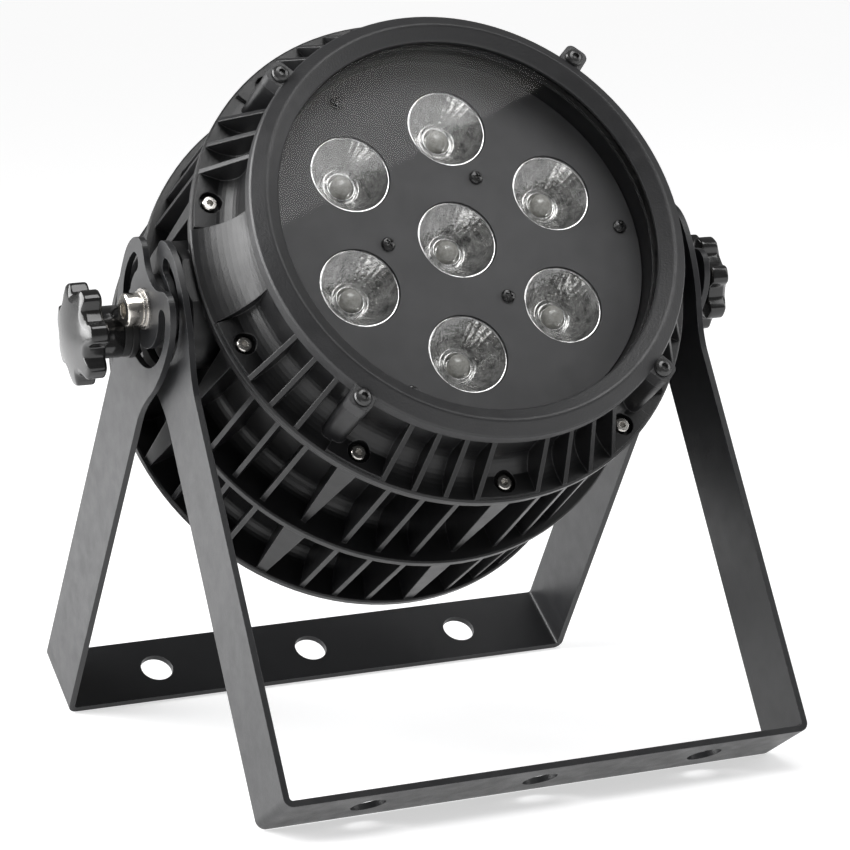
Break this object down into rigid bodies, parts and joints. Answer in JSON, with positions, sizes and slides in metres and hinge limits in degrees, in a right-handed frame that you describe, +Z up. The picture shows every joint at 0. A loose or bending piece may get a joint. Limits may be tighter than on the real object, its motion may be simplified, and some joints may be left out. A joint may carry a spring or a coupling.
{
  "type": "par can light",
  "caption": "Black die-cast LED par can stage light with cooling fins, clear lenses behind a round glass, and a double yoke that works as a floor stand or a hanging bracket.",
  "frame": {"origin": "on the floor under the middle of the overall box", "axes": "+X to the right seen from the front, along the tilt axis; the lenses face -Y and upward; +Z up"},
  "size_m": [0.286, 0.2506, 0.2931],
  "materials": {
    "casting_black": "satin powder coat with a fine grain",
    "yoke_black": "satin powder coat",
    "glass_clear": "clear toughened glass",
    "mask_grey": "grained matt dark grey",
    "lens_clear": "clear moulded acrylic",
    "holder_black": "matt",
    "led_phosphor": "clear dome over four coloured dies",
    "board_white": "white solder mask",
    "board_green": "green solder mask",
    "pad_grey": "soft",
    "seal_black": "soft",
    "screw_black": "black oxide",
    "screw_bright": "bright stainless",
    "pillar_brass": "plain",
    "pillar_alu": "plain",
    "supply_case": "plain sheet",
    "knob_black": "glossy moulded",
    "bush_black": "satin",
    "nylon_black": "satin",
    "window_smoke": "smoked clear",
    "button_grey": "soft",
    "eye_steel": "zinc plated"
  },
  "bodies": {
    "outer_yoke": {"outer_yoke": "yoke_black"},
    "head": {"bezel_ring": "casting_black", "bezel_screws": "screw_black", "front_glass": "glass_clear", "glass_gasket": "seal_black", "mask_plate": "mask_grey", "mask_plate_screws": "screw_black", "mask_plate_pillars": "pillar_alu", "lenses": "lens_clear", "lens_holders": "holder_black", "led_emitters": "led_phosphor", "led_board": "board_white", "thermal_pad": "pad_grey", "front_housing": "casting_black", "housing_gasket": "seal_black", "flange_screws": "screw_bright", "rear_housing": "casting_black", "rear_gasket": "seal_black", "rear_cover": "casting_black", "rear_cover_screws": "screw_bright", "power_supply": "supply_case", "driver_board": "board_green", "board_pillars": "pillar_brass", "display_window": "window_smoke", "display_board": "board_green", "gland_bodies": "nylon_black", "gland_nuts": "nylon_black", "gland_seals": "seal_black", "breather_valve": "nylon_black", "safety_eye": "eye_steel", "safety_eye_screws": "screw_bright", "pivot_bolts": "screw_bright", "pivot_spring_washers": "eye_steel", "pivot_flat_washers": "screw_bright", "yoke_spacers": "nylon_black", "friction_discs": "nylon_black"},
    "inner_yoke": {"inner_yoke": "yoke_black"},
    "left_clamp": {"left_washer": "bush_black", "left_bush": "bush_black"},
    "left_knob": {"left_knob": "knob_black", "left_knob_stud": "eye_steel"},
    "right_clamp": {"right_washer": "bush_black", "right_bush": "bush_black"},
    "right_knob": {"right_knob": "knob_black", "right_knob_stud": "eye_steel"},
    "menu_button": {"menu_button": "button_grey"},
    "up_button": {"up_button": "button_grey"},
    "down_button": {"down_button": "button_grey"},
    "enter_button": {"enter_button": "button_grey"}
  },
  "joints": [
    {"name": "head_tilt", "type": "hinge", "parent": "outer_yoke", "child": "head", "pos_m": [0, -0.00985, 0.18631], "axis": [1, 0, 0], "range_deg": [-142, 96.5]},
    {"name": "inner_yoke_fold", "type": "hinge", "parent": "head", "child": "inner_yoke", "pos_m": [0, -0.00985, 0.18631], "axis": [1, 0, 0], "range_deg": [-32.5, 206]},
    {"name": "left_clamp_slide", "type": "slide", "parent": "head", "child": "left_clamp", "axis": [-1, 0, 0], "range_m": [0, 0.003]},
    {"name": "left_knob_turn", "type": "hinge", "parent": "left_clamp", "child": "left_knob", "pos_m": [-0.1291, 0.00635, 0.17583], "axis": [-1, 0, 0], "range_deg": [0, 1080]},
    {"name": "right_clamp_slide", "type": "slide", "parent": "head", "child": "right_clamp", "axis": [1, 0, 0], "range_m": [0, 0.003]},
    {"name": "right_knob_turn", "type": "hinge", "parent": "right_clamp", "child": "right_knob", "pos_m": [0.1291, 0.00635, 0.17583], "axis": [1, 0, 0], "range_deg": [0, 1080]},
    {"name": "menu_press", "type": "slide", "parent": "head", "child": "menu_button", "axis": [0, -0.849, 0.5284], "range_m": [0, 0.001], "stiffness_N_per_m": 400, "springref_m": -0.0004},
    {"name": "up_press", "type": "slide", "parent": "head", "child": "up_button", "axis": [0, -0.849, 0.5284], "range_m": [0, 0.001], "stiffness_N_per_m": 400, "springref_m": -0.0004},
    {"name": "down_press", "type": "slide", "parent": "head", "child": "down_button", "axis": [0, -0.849, 0.5284], "range_m": [0, 0.001], "stiffness_N_per_m": 400, "springref_m": -0.0004},
    {"name": "enter_press", "type": "slide", "parent": "head", "child": "enter_button", "axis": [0, -0.849, 0.5284], "range_m": [0, 0.001], "stiffness_N_per_m": 400, "springref_m": -0.0004}
  ],
  "couplings": [
    {"joint": "left_clamp_slide", "follows": "left_knob_turn", "m_per_rad": 0.00015915},
    {"joint": "right_clamp_slide", "follows": "right_knob_turn", "m_per_rad": 0.00015915}
  ]
}
